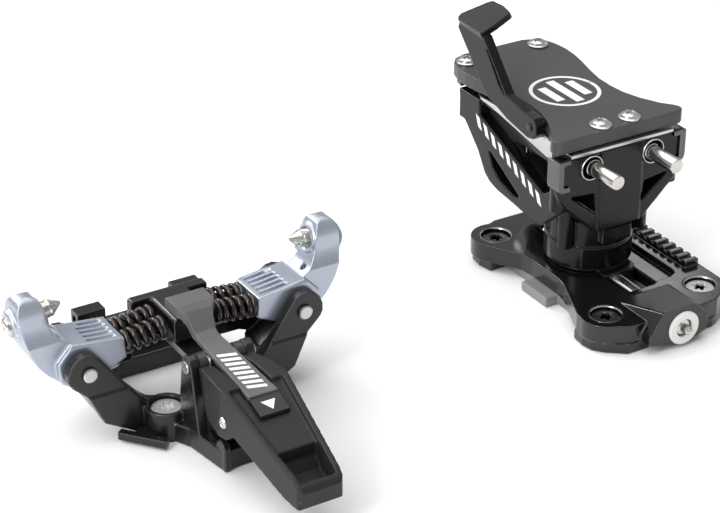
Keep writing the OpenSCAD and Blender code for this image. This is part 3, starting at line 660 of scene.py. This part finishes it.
for s, side in ((-1, "left"), (1, "right")):
    pin = lathe("pin", [(0, -23), (1.9, -23), (2.25, -22.85), (2.4, -22.5), (2.4, -10.7), (2.6, -10.6),
                        (2.6, 20), (0, 20)],
                H(s * PIN_OFFSET, 0, PIN_HEIGHT), (0, 1, 0), 64)
    eye = lathe("eye", [(1.55, -3.3), (3, -3.3), (3, 3.3), (1.55, 3.3), (1.55, -3.3)],
                H(s * PIN_OFFSET, 22, PIN_HEIGHT), (0, 0, 1))
    finish_piece(join("heel_pin_" + side + "_turned", [pin, eye]), side + "_heel_pin", "pin_steel", 30,
                 ("heel_pin_" + side,))
collars = [lathe("collar", [(3.62, -10.2), (3.62, -10.6), (3.72, -10.72), (3.95, -10.72), (4.05, -10.55),
                            (4.05, -9.6), (3.62, -9.6),
                            (3.62, -10.2)], H(s * (PIN_OFFSET + 0.5), 0, PIN_HEIGHT), (0, 1, 0), 64)
           for s in (-1, 1)]
finish_piece(join("heel_pin_collars", collars), "tower", "fork_steel", 30)

for s, side in ((-1, "left"), (1, "right")):
    springs = coil("wire", H(s * 8, 27, 48.4), (0, 1, 0), 16.4, 3.4, 0.55, 8, 0.3)
    finish_piece(join("release_springs_" + side + "_coils", [springs]), "tower", "spring_steel",
                 stands_for=("release_springs",))
wire = coil("wire", H(0, 20.6, 18), (0, 1, 0), 5.7, 3.7, 0.5, 4, 0.3)
finish_piece(join("lateral_spring_coils", [wire]), "tower", "spring_steel", stands_for=("lateral_spring",))
bevel_node("lateral_screw", "lateral_release_screw", "fork_steel", 0.35)
bevel_node("lifter_pin", "tower", "black_plastic", 0.2)
for side in ("left", "right"):
    bevel_node("release_screw_" + side, side + "_release_screw", "screw_steel", 0.25)
bevel_node("release_block", "tower", "fork_steel", 0.3)

# ------------------------------------------------------------ plain printed marks
# slanted bars on the strap and the side frame, a triangle on the window, a barred ring on the cap
bars = []
for y in [-19.6 - 2.45 * k for k in range(8)]:
    bars.append([(-2.7, y), (-2.7, y - 1.35), (2.7, y - 2.9), (2.7, y - 1.55)])
decal("strap_bars", bars, lambda x, y, h: T(x, y, 28.5 + (y + 19) * 0.0526 + h), "lever")
arrow = [[(-2.2, -44.2), (2.2, -44.2), (0, -47.4)]]
decal("window_arrow", arrow, lambda x, y, h: T(x, y, 26.6 + (y + 43) * 0.3036 + h), "lever")
side_bars = []
for k in range(9):
    y, z = 41.4 - k * 4.2, 46.3 - k * 1.55
    side_bars.append([(y, z + 1.3), (y - 2.1, z + 0.5), (y - 3.6, z - 3.4), (y - 1.5, z - 2.6)])
decal("side_bars", side_bars, lambda y, z, h: H(-19 - h, y, z), "tower")
circle = [(math.cos(2 * math.pi * k / 48), math.sin(2 * math.pi * k / 48)) for k in range(49)]
badge = []
for k in range(48):
    (a, b), (c, d) = circle[k], circle[k + 1]
    badge.append([(10.1 * a, 20.5 + 10.1 * b), (11.3 * a, 20.5 + 11.3 * b), (11.3 * c, 20.5 + 11.3 * d),
                  (10.1 * c, 20.5 + 10.1 * d)])
for u in (-5.2, 0, 5.2):
    w = math.sqrt(8.6 ** 2 - (abs(u) + 1.5) ** 2)
    badge.append([(u - 1.5, 20.5 - w), (u + 1.5, 20.5 - w), (u + 1.5, 20.5 + w), (u - 1.5, 20.5 + w)])
decal("cap_badge", badge, lambda x, y, h: H(x, y, CAP_TOP + h), "tower")

# ------------------------------------------------------------ stage
floor = new_object("floor", [Vector((x, y, -0.0002)) for x, y in ((-3, -3), (3, -3), (3, 3), (-3, 3))],
                   [(0, 1, 2, 3)])
fm = bpy.data.materials.new("floor")
fm.use_nodes = True
fm.node_tree.nodes["Principled BSDF"].inputs["Base Color"].default_value = (0.94, 0.94, 0.94, 1)
fm.node_tree.nodes["Principled BSDF"].inputs["Roughness"].default_value = 0.9
fm.node_tree.nodes["Principled BSDF"].inputs["Specular IOR Level"].default_value = 0.0
floor.data.materials.append(fm)

world = bpy.data.worlds.new("studio")
world.use_nodes = True
world.node_tree.nodes["Background"].inputs[0].default_value = (1, 1, 1, 1)
world.node_tree.nodes["Background"].inputs[1].default_value = 0.44
scene.world = world


def softbox(name, place, target, w, h, power):
    d = bpy.data.lights.new(name, "AREA")
    d.shape = "RECTANGLE"
    d.size, d.size_y, d.energy = w, h, power
    o = bpy.data.objects.new(name, d)
    scene.collection.objects.link(o)
    o.location = place
    o.rotation_mode = "QUATERNION"
    o.rotation_quaternion = (Vector(target) - Vector(place)).to_track_quat("-Z", "Y")


softbox("left", (-0.75, -0.25, 0.45), (0, 0, 0.03), 0.2, 0.6, 3.6)
softbox("back", (-0.35, 0.85, 0.5), (0, 0, 0.03), 0.4, 0.16, 3.0)
softbox("glint", (0.8, 0.85, 0.62), (0.095, 0, 0.01), 0.08, 0.2, 0.12)
sun_data = bpy.data.lights.new("overhead", "SUN")
sun_data.energy = 2.1
sun_data.angle = math.radians(80)
sun = bpy.data.objects.new("overhead", sun_data)
scene.collection.objects.link(sun)
sun.rotation_euler = (math.radians(-14), math.radians(-12), 0)

cam_data = bpy.data.cameras.new("camera")
cam = bpy.data.objects.new("camera", cam_data)
scene.collection.objects.link(cam)
cam_data.lens = 111.17
cam_data.sensor_width = 36
cam_data.clip_start, cam_data.clip_end = 0.01, 20
# the camera's three axes in the frame of the object
right, up, back = (0.85791, -0.51379, 0.0), (0.24505, 0.40917, 0.87894), (-0.45159, -0.75405, 0.47693)
cam.matrix_world = Matrix.Translation((-0.295775, -0.484100, 0.344155)) @ Matrix((
    (right[0], up[0], back[0]), (right[1], up[1], back[1]), (right[2], up[2], back[2]))).to_4x4()
scene.camera = cam
scene.view_settings.view_transform = "Standard"

bpy.context.view_layer.update()
